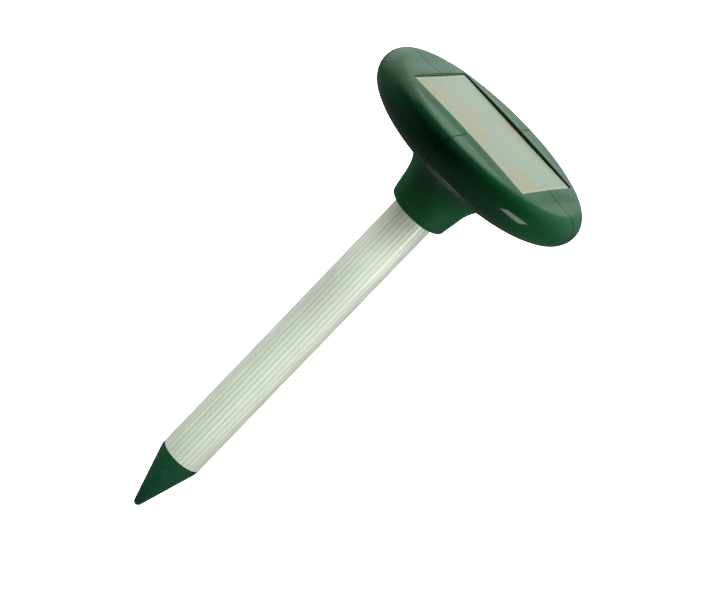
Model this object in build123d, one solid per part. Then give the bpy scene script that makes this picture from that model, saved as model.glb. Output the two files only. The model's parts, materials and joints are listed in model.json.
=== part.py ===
from build123d import *
import os
from math import asin, atan2, cos, degrees, hypot, radians, sin, tan

# Solar ultrasonic pest repeller on a ground stake. Millimetres, +Z up.
# The origin is the lower end of the ground tip, on the stake's axis; -Y is the front.

# Stake
TIP_HEIGHT = 44.0
TIP_NOSE_RADIUS = 2.7
TIP_SHOULDER_RADIUS = 18.0
TUBE_RADIUS = 14.0
TUBE_WALL = 1.4
TUBE_TOP = 288.0
SEAT_START = 255.8
SEAT_RADIUS = 13.7
FLUTE_COUNT = 30
FLUTE_WIDTH = 0.55
FLUTE_DEPTH = 0.35
SPIGOT_LENGTH = 20.0

# Head outline: radii and heights of its section, measured from the rim plane
RIM_PLANE = 311.0
HEAD_RADIUS = 76.6
ROLL_HEIGHT = 1.15
TOP_ROLL = 10.6
LOWER_ROLL = 13.1
CROWN_RISE = 12.4
FLARE_CENTRE = 49.5
FLARE_DROP = 16.2
FLARE_RADIUS = 28.0
NECK_TAPER = 9.7
NECK_MOUTH = 256.0
NECK_LIP_RADIUS = 2.6
SHELL_WALL = 2.2
PARTING_RADIUS = 60.0
PARTING_GAP = 0.3
GROOVE_WIDTH = 0.5
GROOVE_DEPTH = 0.45

# Solar panel recess and its raised frame
RECESS_X = 94.4
RECESS_Y = 86.4
RECESS_CORNER = 1.5
PANEL_TOP = 11.4
FRAME_WIDTH = 1.0
FRAME_SLOPE = 10.4
FRAME_CORNER = 25.0
FRAME_FOOT_RISE = 11.0
FRAME_HEIGHT = 2.9
FRAME_CROWN_RISE = 14.2
FRAME_CROWN_RADIUS = 993.0
COVER_THICKNESS = 1.0
CELL_THICKNESS = 0.25
BOARD_THICKNESS = 1.6
TAPE_THICKNESS = 0.25
TRAY_WALL = 1.8
TRAY_FLOOR = 2.0

# Neck socket
SOCKET_RADIUS = SEAT_RADIUS + 0.3
SLEEVE_RADIUS = 16.2
LEDGE_BOTTOM = TUBE_TOP + 0.2
LEDGE_THICKNESS = 2.5
LEAD_HOLE = 5.0
RIB_COUNT = 8
RIB_THICKNESS = 1.6
SEAL_HEIGHT = 260.75
SEAL_SECTION = 0.95
SEAL_CIRCLE = SEAT_RADIUS + 0.2 + SEAL_SECTION

# Shell screws
SCREW_CIRCLE = 54.5
SCREW_ANGLES = (0, 50, 130, 180, 230, 310)
SCREW_HEAD_Z = 295.5
SCREW_HEAD = (2.8, 1.7)
SCREW_SHANK = (1.45, 11.0)
COUNTERBORE_RADIUS = 3.1
COUNTERBORE_TOP = 297.2
SEAT_HEIGHT = 299.0
SEAT_BOSS_RADIUS = 4.2
COVER_POST_RADIUS = 3.2
PILOT_RADIUS = 1.5
BOSS_FOOT = 270.0

# Main board, switch and button
MAIN_BOARD_Z = 305.0
MAIN_BOARD_X = 40.0
MAIN_BOARD_Y = 38.0
MAIN_BOARD_CENTRE_Y = -33.0
BOARD_SCREW_X = 16.5
BOARD_SCREW_Y = 15.5
BOARD_POST_RADIUS = 2.6
BUTTON_Y = -46.0
BUTTON_RADIUS = 5.0
BUTTON_TRAVEL = 1.5
BUTTON_FACE = 294.0
BUTTON_FLANGE_Z = 297.7
BUTTON_FLANGE = (6.3, 1.0)
BUTTON_CLEARANCE = 0.3
BUTTON_BOSS_RADIUS = 8.5

# Battery
CELL_RADIUS = 7.25
CELL_LENGTH = 50.5
CELL_NUB = 1.3
CELL_PITCH = 14.6
PACK_Y = 24.8
CELL_Z = 306.75
HOLDER_BOTTOM = 298.0
HOLDER_TOP = 304.0
HOLDER_SCREW_X = (-31.8, 31.8)
HOLDER_POST_RADIUS = 3.4

# Sounder and its lead
SOUNDER_Z = 72.0
SOUNDER_RADIUS = 11.4
SOUNDER_HEIGHT = 16.0
LEAD_DIAMETER = 2.0
BATTERY_LEAD_DIAMETER = 1.6
LEAD_PASS = (-12.0, -34.0)
LEAD_PASS_RADIUS = 2.0

# Connector in the top of the tube
SOCKET_BOTTOM = 253.5
SOCKET_SIZE = (8.4, 6.4, 10.2)
PLUG_NOSE_Z = 258.8
PIN_BOTTOM = 258.4
PIN_SPACING = 2.5
HOLDER_DISC = (255.0, 259.0)

BASE = (Align.CENTER, Align.CENTER, Align.MIN)


def polar(centre, radius, angle):
    return (centre[0] + radius * cos(radians(angle)), centre[1] + radius * sin(radians(angle)))


def arc(centre, radius, start, end):
    middle = (start + end) / 2
    return ThreePointArc(
        polar(centre, radius, start), polar(centre, radius, middle), polar(centre, radius, end)
    )


def revolved(edges):
    """Solid of revolution about Z from the edges of a section drawn as (radius, height)."""
    return revolve(Plane.XZ * make_face(edges), Axis.Z)


def ring(outer, inner, bottom, top):
    """Round tube between two heights."""
    bar = Pos(0, 0, bottom) * Cylinder(outer, top - bottom, align=BASE)
    return bar - Pos(0, 0, bottom) * Cylinder(inner, top - bottom, align=BASE)


def post(x, y, radius, bottom, top):
    return Pos(x, y, bottom) * Cylinder(radius, top - bottom, align=BASE)


def slab(size_x, size_y, bottom, top, corner=0.0):
    """Flat plate centred on the axis, with rounded upright corners."""
    outline = RectangleRounded(size_x, size_y, corner) if corner else Rectangle(size_x, size_y)
    return extrude(Pos(0, 0, bottom) * outline, top - bottom)


def blend_radius(run, rise, radius):
    """Radius of the large arc that runs tangent into a roll of the given radius."""
    return (run**2 + rise**2 - radius**2) / (2 * (rise - radius))


def group(solids):
    return Compound(children=list(solids))


# ---------------------------------------------------------------- head shells
def head_solid(inset, mouth):
    """Head with its neck as a full body, its surface moved inwards by inset."""
    rim_z = RIM_PLANE + ROLL_HEIGHT
    top_roll = (HEAD_RADIUS - TOP_ROLL, rim_z)
    low_roll = (HEAD_RADIUS - LOWER_ROLL, rim_z)

    crown_rise = CROWN_RISE - ROLL_HEIGHT
    crown_radius = blend_radius(top_roll[0], crown_rise, TOP_ROLL)
    crown_centre = (0, RIM_PLANE + CROWN_RISE - crown_radius)
    crown_angle = degrees(atan2(rim_z - crown_centre[1], top_roll[0]))

    under_run = low_roll[0] - FLARE_CENTRE
    under_radius = blend_radius(under_run, FLARE_DROP + ROLL_HEIGHT, LOWER_ROLL)
    under_centre = (FLARE_CENTRE, RIM_PLANE - FLARE_DROP + under_radius)
    under_angle = degrees(atan2(rim_z - under_centre[1], under_run))

    flare_centre = (FLARE_CENTRE, RIM_PLANE - FLARE_DROP - FLARE_RADIUS)
    flare_end = polar(flare_centre, FLARE_RADIUS + inset, 180 - NECK_TAPER)
    foot_radius = flare_end[0] - (flare_end[1] - mouth) * tan(radians(NECK_TAPER))

    crown = arc(crown_centre, crown_radius - inset, 90, crown_angle)
    rim = arc(top_roll, TOP_ROLL - inset, crown_angle, 0)
    lower_rim = arc(low_roll, LOWER_ROLL - inset, 0, under_angle)
    under = arc(under_centre, under_radius - inset, under_angle, -90)
    flare = arc(flare_centre, FLARE_RADIUS + inset, 90, 180 - NECK_TAPER)
    neck = Polyline(flare_end, (foot_radius, mouth), (0, mouth), crown @ 0)
    return revolved([crown, rim, lower_rim, under, flare, neck])


def recess_pocket():
    bottom = RIM_PLANE + PANEL_TOP - panel_depth()
    return slab(RECESS_X, RECESS_Y, bottom, RIM_PLANE + 2 * CROWN_RISE, RECESS_CORNER)


def panel_depth():
    return COVER_THICKNESS + CELL_THICKNESS + BOARD_THICKNESS + TAPE_THICKNESS


def raised_frame():
    """Low frame round the recess: gently sloped sides and a slightly crowned top."""
    foot_z = RIM_PLANE + FRAME_FOOT_RISE
    grow = 2 * (FRAME_WIDTH + FRAME_SLOPE)
    foot = RectangleRounded(RECESS_X + grow, RECESS_Y + grow, FRAME_CORNER)
    grow = 2 * FRAME_WIDTH
    brow = RectangleRounded(RECESS_X + grow, RECESS_Y + grow, FRAME_CORNER - FRAME_SLOPE)
    block = loft([Pos(0, 0, foot_z) * foot, Pos(0, 0, foot_z + FRAME_HEIGHT) * brow])
    crown_z = RIM_PLANE + FRAME_CROWN_RISE - FRAME_CROWN_RADIUS
    return block & (Pos(0, 0, crown_z) * Sphere(FRAME_CROWN_RADIUS))


def rim_grooves(outer):
    """Four fine grooves from the recess over the frame and the rim."""
    skin = outer - head_solid(GROOVE_DEPTH, NECK_MOUTH)
    reach = 2 * HEAD_RADIUS
    cross = Box(reach, GROOVE_WIDTH, 4 * CROWN_RISE) + Box(GROOVE_WIDTH, reach, 4 * CROWN_RISE)
    window = slab(RECESS_X - 1, RECESS_Y - 1, RIM_PLANE - 40, RIM_PLANE + 40)
    return (Pos(0, 0, RIM_PLANE) * cross - window) & skin


def screw_places():
    for angle in SCREW_ANGLES:
        yield polar((0, 0), SCREW_CIRCLE, angle)


def head_top_cover():
    outer = head_solid(0, NECK_MOUTH) + raised_frame()
    shell = outer - head_solid(SHELL_WALL, NECK_MOUTH)
    shell -= post(0, 0, PARTING_RADIUS + PARTING_GAP, NECK_MOUTH - 1, RIM_PLANE)
    shell -= rim_grooves(outer)
    tray_bottom = RIM_PLANE + PANEL_TOP - panel_depth() - TRAY_FLOOR
    tray_top = RIM_PLANE + CROWN_RISE - SHELL_WALL + 0.3
    grow = 2 * TRAY_WALL
    shell += slab(RECESS_X + grow, RECESS_Y + grow, tray_bottom, tray_top, RECESS_CORNER + TRAY_WALL)
    for x, y in screw_places():
        shell += post(x, y, COVER_POST_RADIUS, SEAT_HEIGHT + 0.2, tray_top)
    shell -= recess_pocket()
    for x, y in screw_places():
        shell -= post(x, y, PILOT_RADIUS, SEAT_HEIGHT, SEAT_HEIGHT + 13)
    shell -= post(*LEAD_PASS, LEAD_PASS_RADIUS, tray_bottom - 1, tray_bottom + TRAY_FLOOR + 1)
    return shell


def neck_ribs(cavity):
    ribs = []
    for index in range(RIB_COUNT):
        rib = Pos(28, 0, (266 + 296) / 2) * Box(25, RIB_THICKNESS, 30)
        ribs.append(Rot(0, 0, 22.5 + index * 360 / RIB_COUNT) * rib)
    return group(ribs) & cavity


def head_bottom_cover():
    outer = head_solid(0, NECK_MOUTH)
    lip = outer.edges().group_by(Axis.Z)[0].sort_by(SortBy.RADIUS)[-1]
    outer = fillet(lip, NECK_LIP_RADIUS)
    cavity = head_solid(SHELL_WALL, 266.0)
    blank = post(0, 0, PARTING_RADIUS, NECK_MOUTH - 1, RIM_PLANE - 8)
    shell = (outer - cavity) & blank
    shell += ring(SLEEVE_RADIUS, SOCKET_RADIUS, NECK_MOUTH + 8, LEDGE_BOTTOM + LEDGE_THICKNESS)
    shell += ring(SLEEVE_RADIUS, LEAD_HOLE, LEDGE_BOTTOM, LEDGE_BOTTOM + LEDGE_THICKNESS)
    shell += neck_ribs(cavity)
    shell += ring(PARTING_RADIUS - 0.2, PARTING_RADIUS - 2.2, RIM_PLANE - 14, RIM_PLANE - 9.5)
    shell -= post(0, 0, SOCKET_RADIUS, NECK_MOUTH - 1, LEDGE_BOTTOM)
    shell -= Pos(0, 0, SEAL_HEIGHT) * Torus(SEAL_CIRCLE, SEAL_SECTION + 0.02)
    seat = BUTTON_FLANGE_Z - 0.3
    bosses = [post(x, y, SEAT_BOSS_RADIUS, BOSS_FOOT, SEAT_HEIGHT) for x, y in screw_places()]
    bosses += [post(x, y, BOARD_POST_RADIUS, BOSS_FOOT, MAIN_BOARD_Z) for x, y in board_screw_places()]
    bosses += [post(x, PACK_Y, HOLDER_POST_RADIUS, BOSS_FOOT, HOLDER_BOTTOM) for x in HOLDER_SCREW_X]
    bosses.append(post(0, BUTTON_Y, BUTTON_BOSS_RADIUS, BOSS_FOOT, seat))
    shell += group(bosses) & cavity
    for x, y in screw_places():
        shell -= post(x, y, COUNTERBORE_RADIUS, BOSS_FOOT, COUNTERBORE_TOP)
        shell -= post(x, y, SCREW_SHANK[0] + 0.3, BOSS_FOOT, SEAT_HEIGHT + 1)
    for x, y in board_screw_places():
        shell -= post(x, y, 1.0, MAIN_BOARD_Z - 7.5, MAIN_BOARD_Z + 1)
    for x in HOLDER_SCREW_X:
        shell -= post(x, PACK_Y, 1.15, HOLDER_BOTTOM - 3.6, HOLDER_BOTTOM + 1)
    return shell - post(0, BUTTON_Y, BUTTON_RADIUS + BUTTON_CLEARANCE, BOSS_FOOT, BUTTON_FLANGE_Z)


def head_gasket():
    return Pos(0, 0, RIM_PLANE - 10.9) * Torus(PARTING_RADIUS + 1.0, 1.05)


def neck_seal():
    return Pos(0, 0, SEAL_HEIGHT) * Torus(SEAL_CIRCLE, SEAL_SECTION)


def screw(x, y, head_bottom, head_radius, head_height, shank_radius, length, up=True):
    """Pan-head screw with a cross recess. Its shank points up, or down if up is False."""
    head = Cylinder(head_radius, head_height, align=BASE)
    head = fillet(head.edges().group_by(Axis.Z)[0], head_height * 0.45)
    slot = Box(head_radius * 1.2, head_radius * 0.3, head_height * 0.9)
    head -= slot + Rot(0, 0, 90) * slot
    shank = Pos(0, 0, head_height) * Cylinder(shank_radius, length, align=BASE)
    tip = chamfer(shank.edges().group_by(Axis.Z)[-1], shank_radius * 0.6)
    turned = head + tip
    if not up:
        turned = Rot(180, 0, 0) * turned
    return Pos(x, y, head_bottom) * turned


# ---------------------------------------------------------------- solar panel
def panel_level():
    return RIM_PLANE + PANEL_TOP


def panel_cover():
    top = panel_level()
    cover = slab(RECESS_X - 0.6, RECESS_Y - 0.6, top - COVER_THICKNESS, top, RECESS_CORNER)
    return fillet(cover.edges().group_by(Axis.Z)[-1], 0.25)


def solar_cells():
    """Cell strips side by side under the cover."""
    count = 8
    pitch = (RECESS_X - 5.0) / count
    z = panel_level() - COVER_THICKNESS - CELL_THICKNESS / 2
    strips = []
    for index in range(count):
        x = (index - (count - 1) / 2) * pitch
        strips.append(Pos(x, 0, z) * Box(pitch - 0.8, RECESS_Y - 6.0, CELL_THICKNESS))
    return group(strips)


def panel_board():
    top = panel_level() - COVER_THICKNESS - CELL_THICKNESS
    return slab(RECESS_X - 1.0, RECESS_Y - 1.0, top - BOARD_THICKNESS, top, RECESS_CORNER)


def panel_tape():
    bottom = panel_level() - panel_depth()
    outer = slab(RECESS_X - 2, RECESS_Y - 2, bottom, bottom + TAPE_THICKNESS, RECESS_CORNER)
    return outer - slab(RECESS_X - 16, RECESS_Y - 16, bottom, bottom + TAPE_THICKNESS)


# ---------------------------------------------------------------- circuit board
def board_screw_places():
    for x in (-BOARD_SCREW_X, BOARD_SCREW_X):
        for y in (-BOARD_SCREW_Y, BOARD_SCREW_Y):
            yield (x, MAIN_BOARD_CENTRE_Y + y)


def on_board(x, y, shape):
    """Place a shape on the board's upper face, measured from the board's centre."""
    return Pos(x, MAIN_BOARD_CENTRE_Y + y, MAIN_BOARD_Z + BOARD_THICKNESS) * shape


def main_board():
    board = Pos(0, MAIN_BOARD_CENTRE_Y, 0) * slab(
        MAIN_BOARD_X, MAIN_BOARD_Y, MAIN_BOARD_Z, MAIN_BOARD_Z + BOARD_THICKNESS, 2.0
    )
    for x, y in board_screw_places():
        board -= post(x, y, 1.3, MAIN_BOARD_Z - 1, MAIN_BOARD_Z + 3)
    return board


def controller_chip():
    body = Pos(0, 0, 0.4) * Box(4.0, 9.8, 1.6, align=BASE)
    legs = []
    for index in range(8):
        y = (index - 3.5) * 1.2
        legs.append(Pos(0, y, 0) * Box(6.4, 0.45, 0.4, align=BASE))
    chip = body
    for leg in legs:
        chip += leg
    return on_board(-7.0, 3.0, chip)


def board_capacitors():
    tall = Cylinder(3.1, 7.5, align=BASE)
    tall = fillet(tall.edges().group_by(Axis.Z)[-1], 0.5)
    places = ((6.0, -8.0), (13.0, -8.0))
    return group([on_board(x, y, tall) for x, y in places])


def driver_transistors():
    body = Cylinder(2.4, 4.8, align=BASE) - Pos(0, 3.2, 0) * Box(6, 3, 6, align=BASE)
    return group([on_board(x, 12.0, Pos(0, 0, 1.2) * body + pins(1.2)) for x in (-4.6, 5.0)])


def pins(height):
    legs = [Pos(x, 0, 0) * Box(0.45, 0.45, height + 0.4, align=BASE) for x in (-1.27, 0, 1.27)]
    return legs[0] + legs[1] + legs[2]


def charge_inductor():
    drum = ring(3.6, 2.2, 0, 5.4) + post(0, 0, 2.6, 0, 5.4)
    waist = ring(4.0, 3.0, 1.1, 4.3)
    return on_board(8.5, 3.5, drum - waist)


def board_resistors():
    body = Box(3.2, 1.6, 0.6, align=BASE)
    places = [(-14.0, 9.0 - 3.2 * index) for index in range(5)]
    places += [(0.5, 6.0 - 3.2 * index) for index in range(3)]
    return group([on_board(x, y, body) for x, y in places])


def board_screws():
    z = MAIN_BOARD_Z + BOARD_THICKNESS + 1.4
    return group([screw(x, y, z, 2.1, 1.4, 0.95, 6.5, up=False) for x, y in board_screw_places()])


def power_switch():
    bottom = BUTTON_FLANGE_Z + BUTTON_FLANGE[1] + BUTTON_TRAVEL + 0.4
    body = Pos(0, BUTTON_Y, bottom) * Box(8, 8, MAIN_BOARD_Z - bottom, align=BASE)
    return body - post(0, BUTTON_Y, 1.8, bottom - 1, 303.8)


def switch_plunger():
    return post(0, BUTTON_Y, 1.5, BUTTON_FLANGE_Z + BUTTON_FLANGE[1], 302.0)


def power_button():
    stem = post(0, BUTTON_Y, BUTTON_RADIUS, BUTTON_FACE, BUTTON_FLANGE_Z)
    stem = fillet(stem.edges().group_by(Axis.Z)[0], 1.0)
    return stem + post(0, BUTTON_Y, BUTTON_FLANGE[0], BUTTON_FLANGE_Z, BUTTON_FLANGE_Z + BUTTON_FLANGE[1])


# ---------------------------------------------------------------- battery
def battery_holder():
    block = Pos(0, PACK_Y, 0) * slab(55.6, 3 * CELL_PITCH + 2.4, HOLDER_BOTTOM, HOLDER_TOP, 2.0)
    for index in range(3):
        channel = Rot(0, 90, 0) * Cylinder(CELL_RADIUS + 0.15, CELL_LENGTH + 1.0)
        block -= Pos(0, PACK_Y + (index - 1) * CELL_PITCH, CELL_Z) * channel
    for x in HOLDER_SCREW_X:
        inwards = 0.8 if x < 0 else -0.8
        block += Pos(x + inwards, PACK_Y, HOLDER_BOTTOM) * Box(9.0, 10.0, 2.0, align=BASE)
        block -= post(x, PACK_Y, 1.4, HOLDER_BOTTOM - 1, HOLDER_BOTTOM + 3)
    return block


def holder_screws():
    z = HOLDER_BOTTOM + 2.0 + 1.5
    return group([screw(x, PACK_Y, z, 2.4, 1.5, 1.1, 5.0, up=False) for x in HOLDER_SCREW_X])


def battery_cell(index):
    """Rechargeable cell; neighbours point opposite ways."""
    body_length = CELL_LENGTH - CELL_NUB
    body = Rot(0, 90, 0) * Cylinder(CELL_RADIUS, body_length)
    body = fillet(body.edges().filter_by(GeomType.CIRCLE), 0.6)
    nub = Pos(body_length / 2, 0, 0) * Rot(0, 90, 0) * Cylinder(2.75, CELL_NUB, align=BASE)
    cell = Pos(-CELL_NUB / 2, 0, 0) * (body + nub)
    turn = 180 * (index % 2)
    return Pos(0, PACK_Y + (index - 1) * CELL_PITCH, CELL_Z) * Rot(0, 0, turn) * cell


def cell_tabs():
    """Nickel links between neighbouring cells and at the two free ends."""
    x = CELL_LENGTH / 2 + 0.15
    half = CELL_PITCH / 2
    link = Box(0.3, CELL_PITCH + 5.0, 5.0)
    end = Box(0.3, 7.0, 5.0)
    return group([
        Pos(x, PACK_Y - half, CELL_Z) * link,
        Pos(-x, PACK_Y + half, CELL_Z) * link,
        Pos(-x, PACK_Y - CELL_PITCH, CELL_Z) * end,
        Pos(x, PACK_Y + CELL_PITCH, CELL_Z) * end,
    ])


def battery_foam():
    top = RIM_PLANE + PANEL_TOP - panel_depth() - TRAY_FLOOR
    return Pos(0, PACK_Y, 0) * slab(36.0, 40.0, CELL_Z + CELL_RADIUS, top, 2.0)


# ---------------------------------------------------------------- leads
def lead(points, diameter=LEAD_DIAMETER):
    """Sheathed lead along straight runs joined by arcs as large as the runs allow."""
    corners = [Vector(*point) for point in points]
    radii = []
    for before, corner, after in zip(corners, corners[1:], corners[2:]):
        turn = radians((corner - before).get_angle(after - corner))
        shorter = min((corner - before).length, (after - corner).length)
        radii.append(0.45 * shorter / tan(turn / 2))
    path = FilletPolyline(*corners, radius=radii)
    start = Plane(origin=corners[0], z_dir=corners[1] - corners[0])
    return sweep(start * Circle(diameter / 2), path=path)


def board_top():
    return MAIN_BOARD_Z + BOARD_THICKNESS


def panel_lead():
    top = panel_level() - COVER_THICKNESS - CELL_THICKNESS - BOARD_THICKNESS
    x, y = LEAD_PASS
    points = [(x, y, top), (x, y, 314.2), (x - 1, y - 3.5, 311.9), (x - 4, y - 9, 311.0)]
    return lead(points + [(x - 4, y - 9, board_top())])


def battery_lead_red():
    x = CELL_LENGTH / 2 + 0.3
    y = PACK_Y + CELL_PITCH
    points = [(x, y, CELL_Z), (x + 4, y, CELL_Z), (x + 8, y - 6, 308.5), (x + 11, y - 17, 310.5)]
    points += [(x + 11.5, y - 30, 311.5), (x + 9, y - 43, 312), (x + 3, y - 54, 312.3)]
    points += [(x - 5, y - 61, 312), (x - 8.5, y - 64, 311), (x - 8.5, y - 64, board_top())]
    return lead(points, BATTERY_LEAD_DIAMETER)


def battery_lead_black():
    x = -CELL_LENGTH / 2 - 0.3
    y = PACK_Y - CELL_PITCH
    points = [(x, y, CELL_Z), (x - 4, y, CELL_Z), (x - 8, y - 5, 308.5), (x - 9.5, y - 15, 310.5)]
    points += [(x - 6.5, y - 25, 312), (x + 1, y - 32, 312.3), (x + 8.5, y - 35, 311)]
    return lead(points + [(x + 8.5, y - 35, board_top())], BATTERY_LEAD_DIAMETER)


def head_lead():
    points = [(0, -20, board_top()), (0, -20, 310.5), (0, -15.5, 312.6), (0, -8, 312)]
    return lead(points + [(0, -2, 307), (0, 0, 299), (0, 0, 272)])


def lead_grommet():
    top = LEDGE_BOTTOM + LEDGE_THICKNESS
    body = ring(LEAD_HOLE, 1.3, LEDGE_BOTTOM - 1.5, top + 1.5)
    flange = ring(LEAD_HOLE + 1.5, LEAD_HOLE - 0.5, 0, 1.5)
    return body + Pos(0, 0, top) * flange + Pos(0, 0, LEDGE_BOTTOM - 1.5) * flange


def sounder_lead():
    bottom = SOUNDER_Z + SOUNDER_HEIGHT
    points = [(0, 0, bottom), (0, 0, bottom + 12), (3, 2, bottom + 34), (4, -3, bottom + 60)]
    points += [(-3, -4, bottom + 86), (-4, 3, bottom + 112), (2, 2, bottom + 134)]
    return lead(points + [(0, 0, SOCKET_BOTTOM - 12), (0, 0, SOCKET_BOTTOM)])


# ---------------------------------------------------------------- connector
def head_plug():
    body = Pos(0, 0, 264.0) * Box(7.0, 5.0, 8.0, align=BASE)
    nose = Pos(0, 0, PLUG_NOSE_Z) * Box(5.0, 3.0, 5.2, align=BASE)
    plug = fillet(body.edges().filter_by(Axis.Z), 0.8) + nose
    for x in (-PIN_SPACING / 2, PIN_SPACING / 2):
        plug -= post(x, 0, 0.75, PIN_BOTTOM, 263.5)
    return plug


def stake_socket():
    body = Pos(0, 0, SOCKET_BOTTOM) * Box(*SOCKET_SIZE, align=BASE)
    return body - Pos(0, 0, PIN_BOTTOM) * Box(5.6, 3.6, 8, align=BASE)


def socket_pins():
    return group([post(side * PIN_SPACING / 2, 0, 0.4, PIN_BOTTOM, 262.6) for side in (-1, 1)])


def socket_holder():
    low, high = HOLDER_DISC
    disc = post(0, 0, TUBE_RADIUS - TUBE_WALL - 0.05, low, high)
    disc -= Pos(0, 0, SOCKET_BOTTOM) * Box(*SOCKET_SIZE, align=BASE)
    for y in (-8.0, 8.0):
        disc -= post(0, y, 1.5, low - 1, high + 1)
    return disc


# ---------------------------------------------------------------- stake
def stake_tube():
    """Extruded tube with fine flutes all round, turned smooth where it enters the head."""
    outline = Circle(TUBE_RADIUS)
    for index in range(FLUTE_COUNT):
        flute = Pos(TUBE_RADIUS, 0) * Rectangle(2 * FLUTE_DEPTH, FLUTE_WIDTH)
        outline -= Rot(0, 0, index * 360 / FLUTE_COUNT) * flute
    fluted = extrude(Pos(0, 0, TIP_HEIGHT) * outline, SEAT_START - TIP_HEIGHT)
    tube = fluted + post(0, 0, SEAT_RADIUS, SEAT_START, TUBE_TOP)
    return tube - post(0, 0, TUBE_RADIUS - TUBE_WALL, TIP_HEIGHT - 1, TUBE_TOP + 1)


def cone_tip():
    """Pointed tip: round nose, straight flank and a rounded shoulder, with a hollow spigot."""
    shoulder = (TUBE_RADIUS - TIP_SHOULDER_RADIUS, TIP_HEIGHT)
    rise = shoulder[1] - TIP_NOSE_RADIUS
    lean = asin((TIP_SHOULDER_RADIUS - TIP_NOSE_RADIUS) / hypot(rise, shoulder[0]))
    half_angle = degrees(lean - atan2(-shoulder[0], rise))
    nose = arc((0, TIP_NOSE_RADIUS), TIP_NOSE_RADIUS, -90, -half_angle)
    side = arc(shoulder, TIP_SHOULDER_RADIUS, -half_angle, 0)
    flank = Line(nose @ 1, side @ 0)
    top = Polyline(side @ 1, (0, TIP_HEIGHT), nose @ 0)
    cone = revolved([nose, flank, side, top])
    spigot_radius = TUBE_RADIUS - TUBE_WALL - 0.1
    tip = cone + post(0, 0, spigot_radius, TIP_HEIGHT - 1, TIP_HEIGHT + SPIGOT_LENGTH)
    tip -= post(0, 0, spigot_radius - 3.0, 30.0, TIP_HEIGHT + SPIGOT_LENGTH + 1)
    groove_z = TIP_HEIGHT + SPIGOT_LENGTH / 2
    return tip - ring(spigot_radius + 1, spigot_radius - 1.4, groove_z - 0.8, groove_z + 0.8)


def tip_seal():
    return Pos(0, 0, TIP_HEIGHT + SPIGOT_LENGTH / 2) * Torus(TUBE_RADIUS - TUBE_WALL - 0.75, 0.7)


# ---------------------------------------------------------------- sounder
def sounder_case():
    """Cup with its closed end up and a step that seats the diaphragm."""
    cup = post(0, 0, SOUNDER_RADIUS, SOUNDER_Z, SOUNDER_Z + SOUNDER_HEIGHT)
    cup -= post(0, 0, SOUNDER_RADIUS - 1.2, SOUNDER_Z - 1, SOUNDER_Z + 2.4)
    return cup - post(0, 0, SOUNDER_RADIUS - 2.0, SOUNDER_Z, SOUNDER_Z + SOUNDER_HEIGHT - 1.5)


def sounder_foam():
    low = ring(TUBE_RADIUS - TUBE_WALL - 0.05, SOUNDER_RADIUS, SOUNDER_Z + 1, SOUNDER_Z + 6)
    high = ring(TUBE_RADIUS - TUBE_WALL - 0.05, SOUNDER_RADIUS, SOUNDER_Z + 10, SOUNDER_Z + 15)
    return group([low, high])


def sounder_core():
    """Back plate with the pole that the coil sits on."""
    top = SOUNDER_Z + SOUNDER_HEIGHT - 1.5
    return post(0, 0, 9.3, top - 1.2, top) + post(0, 0, 2.8, SOUNDER_Z + 3.4, top - 1.2)


def sounder_magnet():
    return ring(9.0, 6.6, SOUNDER_Z + 5.3, SOUNDER_Z + 13.3)


def sounder_coil():
    return ring(5.8, 2.9, SOUNDER_Z + 5.3, SOUNDER_Z + 13.3)


def sounder_diaphragm():
    disc = ring(SOUNDER_RADIUS - 1.3, 3.0, SOUNDER_Z + 2.1, SOUNDER_Z + 2.4)
    return disc + post(0, 0, 3.4, SOUNDER_Z + 1.9, SOUNDER_Z + 2.6)


def sounder_ring():
    return ring(SOUNDER_RADIUS - 1.3, SOUNDER_RADIUS - 2.6, SOUNDER_Z + 0.2, SOUNDER_Z + 2.1)


def shell_screws():
    sizes = (*SCREW_HEAD, *SCREW_SHANK)
    return group([screw(x, y, SCREW_HEAD_Z, *sizes) for x, y in screw_places()])


HEAD_PARTS = (
    head_top_cover, head_bottom_cover, head_gasket, neck_seal, shell_screws,
    panel_cover, solar_cells, panel_board, panel_tape, panel_lead,
    main_board, controller_chip, board_capacitors, driver_transistors, charge_inductor,
    board_resistors, board_screws, power_switch, switch_plunger, power_button,
    battery_holder, holder_screws, cell_tabs, battery_foam, battery_lead_red, battery_lead_black,
    head_lead, lead_grommet, head_plug,
)
STAKE_PARTS = (
    stake_tube, cone_tip, tip_seal, socket_holder, stake_socket, socket_pins, sounder_lead,
    sounder_case, sounder_foam, sounder_core, sounder_magnet, sounder_coil,
    sounder_diaphragm, sounder_ring,
)


def main():
    os.makedirs("parts", exist_ok=True)
    for make in HEAD_PARTS + STAKE_PARTS:
        export_step(make(), f"parts/{make.__name__}.step")
    for index in range(3):
        export_step(battery_cell(index), f"parts/battery_cell_{index + 1}.step")


main()
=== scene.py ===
import json
from math import acos, asin, atan2, cos, degrees, hypot, pi, radians, sin, sqrt, tan

import bmesh
import bpy
from mathutils import Matrix, Vector


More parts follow.
